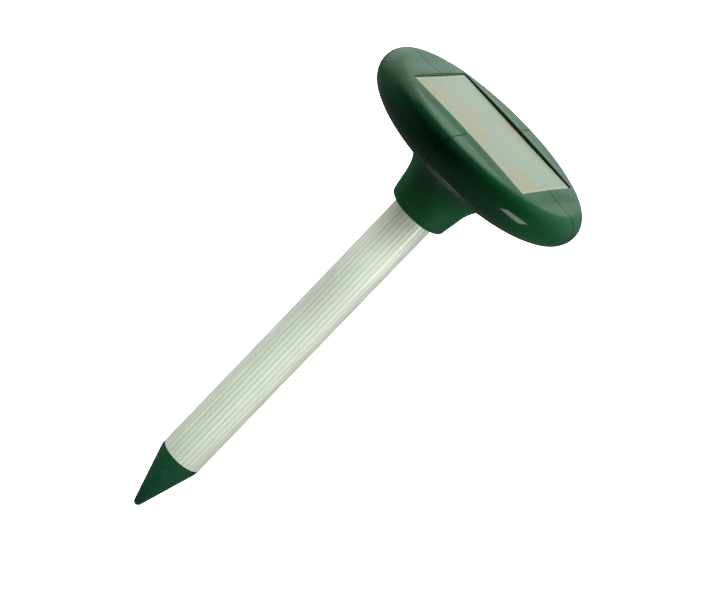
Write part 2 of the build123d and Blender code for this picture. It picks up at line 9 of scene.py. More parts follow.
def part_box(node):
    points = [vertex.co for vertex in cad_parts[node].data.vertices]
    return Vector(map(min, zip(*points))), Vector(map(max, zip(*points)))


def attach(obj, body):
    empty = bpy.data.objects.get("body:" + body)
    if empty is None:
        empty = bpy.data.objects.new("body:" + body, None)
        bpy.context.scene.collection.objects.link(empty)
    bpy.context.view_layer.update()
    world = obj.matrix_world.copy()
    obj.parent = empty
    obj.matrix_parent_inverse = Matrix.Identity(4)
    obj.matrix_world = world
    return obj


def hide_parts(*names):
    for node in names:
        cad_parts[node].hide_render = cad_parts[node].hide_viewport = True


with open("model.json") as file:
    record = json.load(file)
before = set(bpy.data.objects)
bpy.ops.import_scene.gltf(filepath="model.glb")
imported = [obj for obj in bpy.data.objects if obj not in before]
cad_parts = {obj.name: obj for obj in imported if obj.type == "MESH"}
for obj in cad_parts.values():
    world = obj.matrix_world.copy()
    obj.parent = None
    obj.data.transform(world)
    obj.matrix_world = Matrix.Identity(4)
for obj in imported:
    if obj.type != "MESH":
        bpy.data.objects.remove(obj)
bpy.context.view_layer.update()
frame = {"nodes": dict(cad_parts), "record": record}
nodes = frame["nodes"]

# Solar pest repeller on a ground stake. Shapes are worked out in millimetres from the packed
# frame and written to the meshes in metres. The origin is the lower end of the ground tip.
MM = 0.001


def node_box(name):
    """Lowest and highest corner of a CAD node, in millimetres."""
    low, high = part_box(name)
    return low / MM, high / MM


_, head_high = node_box("head_top_cover")
neck_low, neck_high = node_box("head_bottom_cover")
tube_low, tube_high = node_box("stake_tube")
_, tip_high = node_box("cone_tip")
panel_low, panel_high = node_box("panel_cover")
tape_low, _ = node_box("panel_tape")
button_low, button_high = node_box("power_button")
screw_low, _ = node_box("shell_screws")

# Head outline: arcs of its section, in radius and height
HEAD_RADIUS = head_high.x
FRAME_PEAK = 13.26
RIM_PLANE = head_high.z - FRAME_PEAK
NECK_MOUTH = neck_low.z
ROLL_HEIGHT = 1.15
TOP_ROLL = 10.6
LOWER_ROLL = 13.1
CROWN_RISE = 12.4
FLARE_CENTRE = 49.5
FLARE_DROP = 16.2
FLARE_RADIUS = 28.0
NECK_TAPER = radians(9.7)
NECK_LIP_RADIUS = 2.6
SHELL_WALL = 2.2
PARTING_TOP = 60.3
PARTING_BOTTOM = neck_high.x
EDGE_ROUND = 0.35

# Recess for the panel and the raised frame round it
PANEL_GAP = 0.3
PANEL_CORNER = 1.2
RECESS_X = panel_high.x + PANEL_GAP
RECESS_Y = panel_high.y + PANEL_GAP
RECESS_CORNER = 1.5
RECESS_FLOOR = tape_low.z
TRAY_WALL = 1.8
TRAY_FLOOR = 2.0
FRAME_FOOT = RIM_PLANE + 11.0
FRAME_REACH = 11.4
FRAME_SLOPE = 2.9 / 10.4
FRAME_CORNER = 13.6
FRAME_APEX = RIM_PLANE + 14.2
FRAME_CROWN_RADIUS = 993.0
FRAME_BLEND = 0.9
FRAME_SHOWS = 0.3

# Fine grooves across the head, and the columns of mesh points on either side of one
GROOVE_HALF = 0.3
GROOVE_DEPTH = 0.5
GROOVE_SIDE = 0.14
GROOVE_COLUMNS = (-0.75, -0.5, -0.36, -0.28, -0.16, 0.0, 0.16, 0.28, 0.36, 0.5, 0.75)
GROOVE_ZONE = GROOVE_COLUMNS[-1]
QUARTER_COLUMNS = 84
CORNER_COLUMNS = 5
CORNER_STEP = 0.28
CORNER_ZONE = 1.6

# Rings of mesh points over the frame, round the rim and back inside
FRAME_STEPS = (0.45, 0.9, 1.6, 2.4, 3.2, 4.0, 4.8, 5.6, 6.4, 7.2, 8.0, 8.8, 9.6)
RIM_RINGS = 66
INNER_RINGS = 22

# Tube
TUBE_RADIUS = tube_high.x
TUBE_BORE = 12.6
SEAT_RADIUS = 13.7
SEAT_START = NECK_MOUTH - 0.2
TUBE_RINGS = 12
FLUTE_COUNT = 30
FLUTE_HALF = 0.36

# Points across a flute, as (share of its half width, depth)
FLUTE_SHAPE = (
    (-1.0, 0.0), (-0.72, 0.06), (-0.45, 0.24), (0.0, 0.33), (0.45, 0.24), (0.72, 0.06), (1.0, 0.0)
)

# Neck socket
SOCKET_RADIUS = SEAT_RADIUS + 0.3
SLEEVE_RADIUS = 16.2
SLEEVE_TOP = RIM_PLANE - 45.0
LEAD_HOLE = 5.0
LEDGE_THICKNESS = 2.5
INNER_WALL_TOP = RIM_PLANE - 9.5
INNER_WALL = 2.2

# Ground tip
NOSE_RADIUS = 2.7
SHOULDER_RADIUS = 18.0
SPIGOT_RADIUS = TUBE_BORE - 0.1
SPIGOT_WALL = 3.0
SPIGOT_FLOOR = tube_low.z - 14.0
SEAL_GROOVE_Z = tube_low.z + 10.0
SEAL_GROOVE_HALF = 0.8
SEAL_GROOVE_DEPTH = 1.4

# Screws, with their posts in the top cover and their seats in the bottom one
SCREW_CIRCLE = 54.5
SCREW_ANGLES = (0, 50, 130, 180, 230, 310)
SCREW_HEAD_RADIUS = 2.8
SCREW_HEAD_HEIGHT = 1.7
SCREW_SHANK = 1.45
SCREW_LENGTH = 11.0
THREAD_PITCH = 0.9
POST_RADIUS = 3.2
POST_FOOT = RIM_PLANE - 11.8
POST_TOP = RIM_PLANE + 10.0
PILOT_RADIUS = 1.5
PILOT_TOP = RIM_PLANE
SEAT_BOSS_RADIUS = 4.2
SEAT_BOSS_FOOT = RIM_PLANE - 14.8
SEAT_BOSS_TOP = RIM_PLANE - 12.0
COUNTERBORE_RADIUS = 3.1
COUNTERBORE_TOP = RIM_PLANE - 13.8
CUT_START = RIM_PLANE - 31.0

# Button
BUTTON_Y = (button_low.y + button_high.y) / 2
BUTTON_RADIUS = 5.0
BUTTON_GAP = 0.3
BUTTON_FLANGE = 1.3
BUTTON_DISH = 0.35
BUTTON_BOSS_WALL = 3.5
BUTTON_BOSS_FOOT = RIM_PLANE - 15.4
BUTTON_HOLE_TOP = RIM_PLANE - 9.0


# ---- camera
CAMERA_AZIMUTH = radians(12.89)
CAMERA_ELEVATION = radians(18.29)
CAMERA_ROLL = radians(43.95)
CAMERA_DISTANCE = 2.463
CAMERA_TARGET = Vector((0, 0, 0.17565))
CAMERA_LENS = 212.1
CAMERA_SHIFT = (0.0372, 0.0110)


def towards_camera():
    flat = cos(CAMERA_ELEVATION)
    return Vector((sin(CAMERA_AZIMUTH) * flat, -cos(CAMERA_AZIMUTH) * flat, sin(CAMERA_ELEVATION)))


def put_in_scene(name, data):
    """New object holding the data, linked to the scene."""
    thing = bpy.data.objects.new(name, data)
    bpy.context.scene.collection.objects.link(thing)
    return thing


def make_camera():
    data = bpy.data.cameras.new("camera")
    data.lens = CAMERA_LENS
    data.sensor_width = 36
    data.shift_x, data.shift_y = CAMERA_SHIFT
    data.clip_start, data.clip_end = 0.1, 20
    camera = put_in_scene("camera", data)
    back = towards_camera()
    turn = (-back).to_track_quat("-Z", "Y").to_matrix() @ Matrix.Rotation(CAMERA_ROLL, 3, "Z")
    camera.rotation_mode = "QUATERNION"
    camera.rotation_quaternion = turn.to_quaternion()
    camera.location = CAMERA_TARGET + CAMERA_DISTANCE * back
    bpy.context.scene.camera = camera


# ---- shader wiring
class Wire:
    """A shader socket. Sums on it add Math nodes, and `add` makes any other node in its tree."""

    def __init__(self, tree, socket=None):
        self.tree = tree
        self.socket = socket

    def add(self, kind, settings=None, sockets=None, out=0):
        node = self.tree.nodes.new(kind)
        for name, value in (settings or {}).items():
            if name == "stops":
                paint_ramp(node.color_ramp, value)
            else:
                setattr(node, name, value)
        for key, value in (sockets or {}).items():
            if isinstance(value, Wire):
                self.tree.links.new(value.socket, node.inputs[key])
            else:
                node.inputs[key].default_value = value
        return Wire(self.tree, node.outputs[out])

    def pick(self, name):
        """Another output of the node that this wire comes from."""
        return Wire(self.tree, self.socket.node.outputs[name])

    def sum(self, operation, first, second=0.0):
        return self.add("ShaderNodeMath", {"operation": operation}, {0: first, 1: second})

    def __add__(self, other):
        return self.sum("ADD", self, other)

    __radd__ = __add__

    def __sub__(self, other):
        return self.sum("SUBTRACT", self, other)

    def __rsub__(self, other):
        return self.sum("SUBTRACT", other, self)

    def __mul__(self, other):
        return self.sum("MULTIPLY", self, other)

    def __truediv__(self, other):
        return self.sum("DIVIDE", self, other)

    def __gt__(self, other):
        return self.sum("GREATER_THAN", self, other)

    def __abs__(self):
        return self.sum("ABSOLUTE", self)


def paint_ramp(ramp, stops):
    while len(ramp.elements) < len(stops):
        ramp.elements.new(1.0)
    for element, (place, colour) in zip(ramp.elements, stops):
        element.position = place
        element.color = (*colour, 1.0)


def new_finish(name):
    """A new material and a wire with its object coordinates."""
    material = bpy.data.materials.new(name)
    material.use_nodes = True
    material.node_tree.nodes.clear()
    return material, Wire(material.node_tree).add("ShaderNodeTexCoord", out="Object")


def stretched(place, x, y, z):
    """Object coordinates stretched by a factor on each axis."""
    return place.add("ShaderNodeMapping", {}, {"Vector": place, "Scale": (x, y, z)})


def noise(place, scale, detail, roughness=0.5):
    sockets = {"Vector": place, "Scale": scale, "Detail": detail, "Roughness": roughness}
    return place.add("ShaderNodeTexNoise", {}, sockets, "Fac")


def spread(value, low, high, to_low=0.0, to_high=1.0):
    sockets = {"Value": value, "From Min": low, "From Max": high}
    sockets.update({"To Min": to_low, "To Max": to_high})
    return value.add("ShaderNodeMapRange", {"clamp": True}, sockets)


def blend(mask, first, second):
    """Mix of two colours by a mask; each is a wire or (red, green, blue)."""
    first, second = (c if isinstance(c, Wire) else (*c, 1.0) for c in (first, second))
    return mask.add("ShaderNodeMix", {"data_type": "RGBA"}, {0: mask, 6: first, 7: second}, 2)


def bumped(height, depth, strength=1.0, under=None):
    """Normal that follows a height from 0 to 1, whose full depth is in metres."""
    sockets = {"Height": height, "Distance": depth, "Strength": strength}
    if under is not None:
        sockets["Normal"] = under
    return height.add("ShaderNodeBump", {}, sockets)


def finished(material, **sockets):
    """The material with a Principled shader; underscores in the names stand for spaces."""
    named = {name.replace("_", " "): value for name, value in sockets.items()}
    shader = Wire(material.node_tree).add("ShaderNodeBsdfPrincipled", {}, named)
    end = material.node_tree.nodes.new("ShaderNodeOutputMaterial")
    material.node_tree.links.new(shader.socket, end.inputs["Surface"])
    return material


def axis_parts(place):
    parts = place.add("ShaderNodeSeparateXYZ", {}, {0: place})
    return parts.pick("X"), parts.pick("Y"), parts.pick("Z")


# ---- finishes
def gloss_shell_finish():
    """Glossy dark green moulding: faint flow marks, orange peel, hairline scuffs and smears."""
    material, place = new_finish("gloss_green_shell")
    flow = noise(stretched(place, 1.0, 1.0, 2.2), 26.0, 4.0, 0.55)
    speck = noise(place, 900.0, 2.0, 0.6)
    shade = blend(spread(flow, 0.35, 0.68), (0.0054, 0.070, 0.025), (0.0076, 0.092, 0.034))
    shade = blend(spread(speck, 0.66, 0.78, 0.0, 0.3), shade, (0.014, 0.110, 0.050))
    smear = noise(stretched(place, 1.0, 2.4, 1.0), 42.0, 5.0, 0.6)
    scuff = noise(stretched(place, 90.0, 700.0, 300.0), 1.0, 2.0, 0.5)
    gloss = 0.085 + spread(smear, 0.45, 0.75, 0.0, 0.07) + spread(scuff, 0.68, 0.8, 0.0, 0.08)
    height = axis_parts(place)[2]
    gloss = gloss + spread(height, (RIM_PLANE - 10.5) * MM, (RIM_PLANE - 6.0) * MM, 0.3, 0.0)
    peel = bumped(noise(place, 420.0, 2.0, 0.4), 0.00002, 0.35)
    normal = bumped(scuff, 0.000004, 0.25, peel)
    return finished(material, Base_Color=shade, Roughness=gloss, Normal=normal, Specular_IOR_Level=0.4)


def ground_tip_finish():
    """Green moulding worn by soil: vertical scratches and a dulled nose."""
    material, place = new_finish("scuffed_green_tip")
    height = axis_parts(place)[2]
    grain = noise(stretched(place, 500.0, 500.0, 22.0), 1.0, 3.0, 0.6)
    blotch = noise(place, 110.0, 4.0, 0.6)
    wear = spread(height, 0.0, 0.022, 0.5, 0.0) * spread(blotch, 0.4, 0.65)
    shade = blend(spread(blotch, 0.3, 0.7), (0.0044, 0.047, 0.021), (0.0064, 0.060, 0.027))
    shade = blend(wear * spread(grain, 0.5, 0.75, 0.0, 0.12), shade, (0.02, 0.085, 0.05))
    gloss = 0.2 + wear * 0.1 + spread(grain, 0.45, 0.8, 0.0, 0.12)
    normal = bumped(grain, 0.00002, 0.4)
    return finished(material, Base_Color=shade, Roughness=gloss, Normal=normal, Specular_IOR_Level=0.4)


def drawn_aluminium_finish():
    """Extruded tube: die lines along its length under a satin anodised skin, with painted shade darkening
    each flute.
    """
    material, place = new_finish("drawn_aluminium")
    lines = noise(stretched(place, 700.0, 700.0, 1.2), 1.0, 2.0, 0.6)
    bands = noise(stretched(place, 210.0, 210.0, 0.8), 1.0, 2.0, 0.5)
    cloud = noise(place, 60.0, 3.0, 0.5)
    shade = blend(spread(bands, 0.35, 0.65), (0.72, 0.80, 0.66), (0.84, 0.91, 0.78))
    shade = blend(spread(lines, 0.55, 0.75, 0.0, 0.6), shade, (0.57, 0.64, 0.50))
    x, y, _ = axis_parts(place)
    turn = x.sum("ARCTAN2", y, x) * (FLUTE_COUNT / (2 * pi))
    # Painted shade: the colour is darkened along the middle of each flute, standing in for the shade in the
    # groove.
    flute = spread(turn.sum("PINGPONG", turn + FLUTE_COUNT, 0.5), 0.05, 0.17, 1.0, 0.0)
    shade = blend(flute * spread(cloud, 0.2, 0.8, 0.3, 0.6), shade, (0.40, 0.45, 0.34))
    gloss = 0.3 + spread(lines, 0.3, 0.7, 0.0, 0.16) + spread(cloud, 0.4, 0.7, 0.0, 0.05)
    normal = bumped(lines, 0.00001, 0.35)
    return finished(material, Base_Color=shade, Metallic=0.4, Roughness=gloss, Normal=normal)


def panel_resin_finish():
    """Clear resin over thin-film cells: pale margin, faint cell lines and a drift of colours."""
    material, place = new_finish("panel_resin")
    x, y, _ = axis_parts(place)
    half_x = (RECESS_X - 2.6) * MM
    half_y = (RECESS_Y - 2.9) * MM
    outside = (abs(x) > half_x) + (abs(y) > half_y)
    margin = spread(outside, 0.0, 1.0)
    pitch = 2 * (RECESS_X - 2.5) / 8 * MM
    strip = x.sum("PINGPONG", x, pitch / 2)
    seam = spread(strip, 0.0, 0.0006, 1.0, 0.0)
    finger = spread(y.sum("PINGPONG", y + 1.0, 0.0013), 0.0, 0.00025, 1.0, 0.0)
    drift = noise(stretched(place, 1.0, 1.4, 1.0), 17.0, 1.5, 0.5)
    stops = (
        (0.30, (0.235, 0.320, 0.190)),
        (0.42, (0.250, 0.320, 0.202)),
        (0.50, (0.232, 0.304, 0.246)),
        (0.58, (0.270, 0.292, 0.195)),
        (0.70, (0.288, 0.284, 0.168)),
    )
    film = drift.add("ShaderNodeValToRGB", {"stops": stops}, {0: drift})
    shade = blend(seam * 0.18, film, (0.15, 0.20, 0.14))
    shade = blend(finger * 0.06, shade, (0.44, 0.47, 0.40))
    shade = blend(margin * 0.55, shade, (0.36, 0.44, 0.30))
    dust = noise(place, 320.0, 4.0, 0.6)
    gloss = 0.28 + spread(dust, 0.45, 0.7, 0.0, 0.1)
    wave = bumped(noise(place, 45.0, 2.0, 0.4), 0.00006, 0.3)
    return finished(
        material, Base_Color=shade, Roughness=gloss, Normal=wave, Coat_Weight=0.25, Coat_Roughness=0.08
    )


def silicon_finish():
    """Dark thin-film strips with fine silver fingers."""
    material, place = new_finish("cell_silicon")
    y = axis_parts(place)[1]
    finger = spread(y.sum("PINGPONG", y + 1.0, 0.0013), 0.0, 0.0002, 1.0, 0.0)
    grain = noise(place, 300.0, 4.0, 0.6)
    shade = blend(spread(grain, 0.3, 0.7), (0.03, 0.022, 0.04), (0.055, 0.04, 0.075))
    shade = blend(finger, shade, (0.6, 0.6, 0.58))
    return finished(material, Base_Color=shade, Roughness=0.25 + grain * 0.1, Metallic=finger * 0.8)


def laminate_finish():
    """Glass-fibre board under solder mask: weave showing faintly through the green."""
    material, place = new_finish("board_laminate")
    x, y, _ = axis_parts(place)
    warp = x.sum("PINGPONG", x + 1.0, 0.0004) * 2500.0
    weft = y.sum("PINGPONG", y + 1.0, 0.0004) * 2500.0
    weave = (warp + weft) * 0.5
    cloud = noise(place, 120.0, 3.0)
    shade = blend(spread(weave, 0.2, 0.8), (0.008, 0.11, 0.035), (0.014, 0.16, 0.055))
    shade = blend(spread(cloud, 0.55, 0.8, 0.0, 0.4), shade, (0.02, 0.2, 0.09))
    normal = bumped(weave, 0.00002, 0.4)
    return finished(
        material, Base_Color=shade, Roughness=0.3 + cloud * 0.15, Normal=normal, Coat_Weight=0.4
    )


def moulded_finish(name, dark, light, gloss, grain_scale=700.0):
    """Plain moulding with a fine texture, slightly uneven in colour and shine."""
    material, place = new_finish(name)
    cloud = noise(place, 60.0, 4.0, 0.55)
    grain = noise(place, grain_scale, 3.0, 0.6)
    shade = blend(spread(cloud, 0.3, 0.7), dark, light)
    shine = gloss + spread(grain, 0.35, 0.7, -0.04, 0.08)
    return finished(material, Base_Color=shade, Roughness=shine, Normal=bumped(grain, 0.00002, 0.5))


def metal_finish(name, dark, light, gloss):
    """Bare metal with tool marks across its axis and a little tarnish."""
    material, place = new_finish(name)
    marks = noise(stretched(place, 60.0, 60.0, 900.0), 1.0, 3.0, 0.6)
    tarnish = noise(place, 180.0, 4.0, 0.6)
    shade = blend(spread(tarnish, 0.35, 0.7), light, dark)
    shine = gloss + spread(marks, 0.3, 0.7, 0.0, 0.15)
    return finished(
        material, Base_Color=shade, Metallic=1.0, Roughness=shine, Normal=bumped(marks, 0.000008, 0.4)
    )


def foam_finish():
    """Open-cell foam: small dark pores over a soft grey."""
    material, place = new_finish("foam")
    sockets = {"Vector": place, "Scale": 1400.0}
    cells = place.add("ShaderNodeTexVoronoi", {"feature": "F1"}, sockets, "Distance")
    pores = spread(cells, 0.0, 0.5, 0.0, 1.0)
    shade = blend(pores, (0.02, 0.02, 0.022), (0.09, 0.09, 0.095))
    return finished(
        material, Base_Color=shade, Roughness=0.92 + pores * 0.05, Normal=bumped(pores, 0.0002, 0.8)
    )


def tape_finish():
    """Double-sided tape: milky film with trapped air."""
    material, place = new_finish("adhesive")
    bubbles = spread(noise(place, 500.0, 3.0, 0.6), 0.55, 0.7)
    shade = blend(bubbles, (0.55, 0.54, 0.5), (0.75, 0.74, 0.7))
    return finished(
        material, Base_Color=shade, Roughness=0.5 + bubbles * 0.2, Normal=bumped(bubbles, 0.00002)
    )


def winding_finish():
    """Enamelled copper wire laid in close turns."""
    material, place = new_finish("copper_coil")
    height = axis_parts(place)[2]
    turns = height.sum("PINGPONG", height + 1.0, 0.00013) / 0.00013
    cloud = noise(place, 400.0, 3.0)
    shade = blend(spread(turns, 0.0, 0.5), (0.16, 0.035, 0.012), (0.62, 0.2, 0.08))
    shade = blend(spread(cloud, 0.5, 0.7, 0.0, 0.5), shade, (0.75, 0.3, 0.12))
    return finished(
        material, Base_Color=shade, Metallic=0.9, Roughness=0.28 + cloud * 0.1, Normal=bumped(turns, 0.0001)
    )


def ferrite_finish():
    """Sintered grey-black ferrite with chipped grains."""
    material, place = new_finish("ferrite")
    sockets = {"Vector": place, "Scale": 2200.0}
    grains = place.add("ShaderNodeTexVoronoi", {"feature": "F1"}, sockets, "Distance")
    shade = blend(spread(grains, 0.1, 0.6), (0.02, 0.02, 0.022), (0.055, 0.053, 0.055))
    return finished(
        material, Base_Color=shade, Roughness=0.5 + grains * 0.2, Normal=bumped(grains, 0.00003, 0.6)
    )


def cell_jacket_finish():
    """Shrink sleeve on the cells: green film with a pale band and a shrink ripple at the ends."""
    material, place = new_finish("cell_jacket")
    x = axis_parts(place)[0]
    band = spread(abs(x), 0.0105, 0.0107, 0.0, 1.0) * spread(abs(x), 0.0163, 0.0165, 1.0, 0.0)
    end = spread(abs(x), 0.0236, 0.0238)
    cloud = noise(place, 140.0, 3.0)
    ripple = noise(stretched(place, 900.0, 200.0, 200.0), 1.0, 2.0)
    shade = blend(spread(cloud, 0.3, 0.7), (0.01, 0.16, 0.07), (0.014, 0.2, 0.09))
    shade = blend(band, shade, (0.62, 0.65, 0.6))
    shade = blend(end, shade, (0.55, 0.54, 0.5))
    return finished(
        material, Base_Color=shade, Roughness=0.2 + cloud * 0.1, Normal=bumped(ripple, 0.00002, 0.3)
    )


def sheath_finish(name, dark, light):
    """Soft plastic wire sheath: faint twist of the cores and handling marks."""
    material, place = new_finish(name)
    twist = noise(stretched(place, 300.0, 300.0, 120.0), 1.0, 2.0)
    marks = noise(place, 900.0, 3.0)
    shade = blend(spread(twist, 0.35, 0.65), dark, light)
    return finished(
        material, Base_Color=shade, Roughness=0.35 + marks * 0.2, Normal=bumped(twist, 0.00004, 0.4)
    )


def make_finishes():
    """One finish for each of the record's material slots."""
    return {
        "head_plastic": gloss_shell_finish(),
        "tip_plastic": ground_tip_finish(),
        "tube_aluminium": drawn_aluminium_finish(),
        "panel_resin": panel_resin_finish(),
        "cell_silicon": silicon_finish(),
        "board_laminate": laminate_finish(),
        "black_rubber": moulded_finish("black_rubber", (0.012, 0.012, 0.012), (0.025, 0.025, 0.025), 0.62),
        "foam": foam_finish(),
        "adhesive": tape_finish(),
        "steel": metal_finish("zinc_steel", (0.36, 0.36, 0.35), (0.62, 0.62, 0.60), 0.24),
        "nickel": metal_finish("nickel_strip", (0.45, 0.43, 0.38), (0.70, 0.68, 0.62), 0.2),
        "brass": metal_finish("brass_pin", (0.50, 0.34, 0.10), (0.78, 0.58, 0.24), 0.2),
        "copper_coil": winding_finish(),
        "ferrite": ferrite_finish(),
        "black_plastic": moulded_finish("black_plastic", (0.008, 0.008, 0.009), (0.018, 0.018, 0.019), 0.4),
        "white_plastic": moulded_finish("white_plastic", (0.62, 0.61, 0.57), (0.74, 0.73, 0.69), 0.38),
        "cell_jacket": cell_jacket_finish(),
        "red_wire": sheath_finish("red_wire", (0.34, 0.012, 0.01), (0.48, 0.022, 0.018)),
        "black_wire": sheath_finish("black_wire", (0.01, 0.01, 0.01), (0.03, 0.03, 0.03)),
        "grey_wire": sheath_finish("grey_wire", (0.12, 0.12, 0.125), (0.2, 0.2, 0.205)),
        "button_rubber": moulded_finish(
            "button_rubber", (0.010, 0.010, 0.011), (0.022, 0.022, 0.023), 0.5, 1600.0
        ),
    }


# ---- mesh helpers
def mesh_of(name, points, faces):
    """Mesh from millimetre points."""
    mesh = bpy.data.meshes.new(name)
    mesh.from_pydata([Vector(point) * MM for point in points], [], faces)
    mesh.validate()
    return mesh


def add_piece(name, points, faces, slot, body, stands_for, smooth_angle):
    """Piece from millimetre points. It rides on a body and stands for CAD nodes."""
    return place_piece(name, mesh_of(name, points, faces), slot, body, stands_for, smooth_angle)


def place_piece(name, mesh, slot, body, stands_for, smooth_angle):
    mesh.materials.clear()
    mesh.materials.append(finishes[slot])
    mesh.shade_smooth()
    mesh.set_sharp_from_angle(angle=radians(smooth_angle))
    piece = put_in_scene(name, mesh)
    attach(piece, body)
    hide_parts(*stands_for)
    return piece


def turned_to(angle, radius, height):
    return radius * cos(angle), radius * sin(angle), height


def turned_faces(rows, columns, closed=False):
    """Quads between rings of points, ring after ring, and from the last to the first if closed."""
    faces = []
    for row in range(rows if closed else rows - 1):
        low = row * columns
        high = (row + 1) % rows * columns
        for column in range(columns):
            after = (column + 1) % columns
            faces.append((low + column, high + column, high + after, low + after))
    return faces


def pole_faces(pole, rows, columns):
    """Triangles from two poles, numbered from `pole`, to the first and the last ring."""
    faces = []
    last = (rows - 1) * columns
    for column in range(columns):
        after = (column + 1) % columns
        faces.append((pole, column, after))
        faces.append((pole + 1, last + after, last + column))
    return faces


def turned_mesh(section, columns):
    """Points and faces of a solid of revolution from a loop of (radius, height).

    A loop that starts and ends on the axis gets a pole at each end; any other loop is closed."""
    poled = section[0][0] == 0
    rings = section[1:-1] if poled else section
    angles = [2 * pi * column / columns for column in range(columns)]
    points = [turned_to(angle, radius, height) for radius, height in rings for angle in angles]
    faces = turned_faces(len(rings), columns, closed=not poled)
    if poled:
        faces += pole_faces(len(points), len(rings), columns)
        points += [(0, 0, section[0][1]), (0, 0, section[-1][1])]
    return points, faces


def arc_points(centre, radius, start, end, count):
    """Points along an arc from one angle to another, both included."""
    steps = [start + (end - start) * index / (count - 1) for index in range(count)]
    return [(centre[0] + radius * cos(a), centre[1] + radius * sin(a)) for a in steps]


def straight(first, last, count):
    """Points from first to last, both included."""
    steps = [index / (count - 1) for index in range(count)]
    return [tuple(a + (b - a) * t for a, b in zip(first, last)) for t in steps]


# ---- head outline
def blend_radius(run, rise, radius):
    """Radius of the large arc that runs tangent into a roll of the given radius."""
    return (run**2 + rise**2 - radius**2) / (2 * (rise - radius))


RIM_Z = RIM_PLANE + ROLL_HEIGHT
TOP_RUN = HEAD_RADIUS - TOP_ROLL
LOW_RUN = HEAD_RADIUS - LOWER_ROLL
CROWN_RADIUS = blend_radius(TOP_RUN, CROWN_RISE - ROLL_HEIGHT, TOP_ROLL)
CROWN_CENTRE = RIM_PLANE + CROWN_RISE - CROWN_RADIUS
CROWN_ANGLE = atan2(RIM_Z - CROWN_CENTRE, TOP_RUN)
UNDER_RADIUS = blend_radius(LOW_RUN - FLARE_CENTRE, FLARE_DROP + ROLL_HEIGHT, LOWER_ROLL)
UNDER_CENTRE = RIM_PLANE - FLARE_DROP + UNDER_RADIUS
UNDER_ANGLE = atan2(RIM_Z - UNDER_CENTRE, LOW_RUN - FLARE_CENTRE)

# Arcs of the outline from the apex down, as (centre radius, centre height, radius, start, end)
OUTLINE = (
    (0.0, CROWN_CENTRE, CROWN_RADIUS, pi / 2, CROWN_ANGLE),
    (TOP_RUN, RIM_Z, TOP_ROLL, CROWN_ANGLE, 0.0),
    (LOW_RUN, RIM_Z, LOWER_ROLL, 0.0, UNDER_ANGLE),
    (FLARE_CENTRE, UNDER_CENTRE, UNDER_RADIUS, UNDER_ANGLE, -pi / 2),
)


def outline_at(travel):
    """Radius, height and outward normal (radial, upward) at a distance from the apex."""
    for centre, height, radius, start, end in OUTLINE:
        length = radius * (start - end)
        if travel <= length or centre == FLARE_CENTRE:
            angle = start - travel / radius
            across, up = cos(angle), sin(angle)
            return centre + radius * across, height + radius * up, across, up
        travel -= length
    return None


def travel_to(radius):
    """Distance along the outline from the apex to a radius on the upper side."""
    crown_edge = CROWN_RADIUS * cos(CROWN_ANGLE)
    if radius <= crown_edge:
        return CROWN_RADIUS * asin(radius / CROWN_RADIUS)
    roll = acos((radius - TOP_RUN) / TOP_ROLL)
    return CROWN_RADIUS * (pi / 2 - CROWN_ANGLE) + TOP_ROLL * (CROWN_ANGLE - roll)


def travel_under(radius):
    """Distance along the outline from the apex to a radius on the underside."""
    before = sum(r * (start - end) for _, _, r, start, end in OUTLINE[:3])
    angle = -acos((radius - FLARE_CENTRE) / UNDER_RADIUS)
    return before + UNDER_RADIUS * (UNDER_ANGLE - angle)


def soft_least(a, b, reach):
    """Smaller of two heights, with the crease between them rounded."""
    mix = max(reach - abs(a - b), 0.0) / reach
    return min(a, b) - mix * mix * reach / 4


def soft_most(a, b, reach):
    return -soft_least(-a, -b, reach)


def frame_height(x, y, outside):
    """Height of the raised frame at a distance outside the recess edge."""
    slope = FRAME_FOOT + (FRAME_REACH - outside) * (FRAME_SLOPE if outside < FRAME_REACH else 1.0)
    crown = FRAME_APEX - FRAME_CROWN_RADIUS + sqrt(FRAME_CROWN_RADIUS**2 - x * x - y * y)
    return soft_least(slope, crown, FRAME_BLEND)


def recess_reach(angle, outside):
    """Distance from the axis to the recess edge moved outwards, in a direction."""
    half_x, half_y, corner = RECESS_X + outside, RECESS_Y + outside, RECESS_CORNER + outside
    across, along = abs(cos(angle)), abs(sin(angle))
    if across * half_y >= along * half_x:
        flat = half_x / across
        if flat * along <= half_y - corner:
            return flat
    else:
        flat = half_y / along
        if flat * across <= half_x - corner:
            return flat
    nose_x, nose_y = half_x - corner, half_y - corner
    reach = nose_x * across + nose_y * along
    return reach + sqrt(max(reach * reach - nose_x**2 - nose_y**2 + corner**2, 0.0))


def outside_frame(x, y):
    """Distance of a point outside the frame's inner outline, which has large corners."""
    over_x = abs(x) - (RECESS_X - FRAME_CORNER)
    over_y = abs(y) - (RECESS_Y - FRAME_CORNER)
    return hypot(max(over_x, 0.0), max(over_y, 0.0)) - FRAME_CORNER + min(max(over_x, over_y), 0.0)


# ---- head top cover
def head_columns():
    """Upright columns of the cover's mesh: (quarter, offset in mm, fraction of the way on).

    Columns beside a groove keep a fixed distance from it, and the rest share out the angle."""
    columns = []
    corner = degrees(atan2(RECESS_Y, RECESS_X))
    for quarter in range(4):
        columns += [(quarter, offset, None) for offset in GROOVE_COLUMNS]
        turn = corner if quarter % 2 == 0 else 90.0 - corner
        angles = [90.0 * index / QUARTER_COLUMNS for index in range(1, QUARTER_COLUMNS)]
        angles = [angle for angle in angles if abs(angle - turn) > CORNER_ZONE]
        angles += [turn + CORNER_STEP * index for index in range(-CORNER_COLUMNS, CORNER_COLUMNS + 1)]
        columns += [(quarter, GROOVE_ZONE, angle / 90.0) for angle in sorted(angles)]
    return columns


def column_angle(column, radius):
    quarter, offset, share = column
    edge = asin(offset / radius)
    if share is None:
        return quarter * pi / 2 + edge
    return quarter * pi / 2 + edge + (pi / 2 - 2 * edge) * share


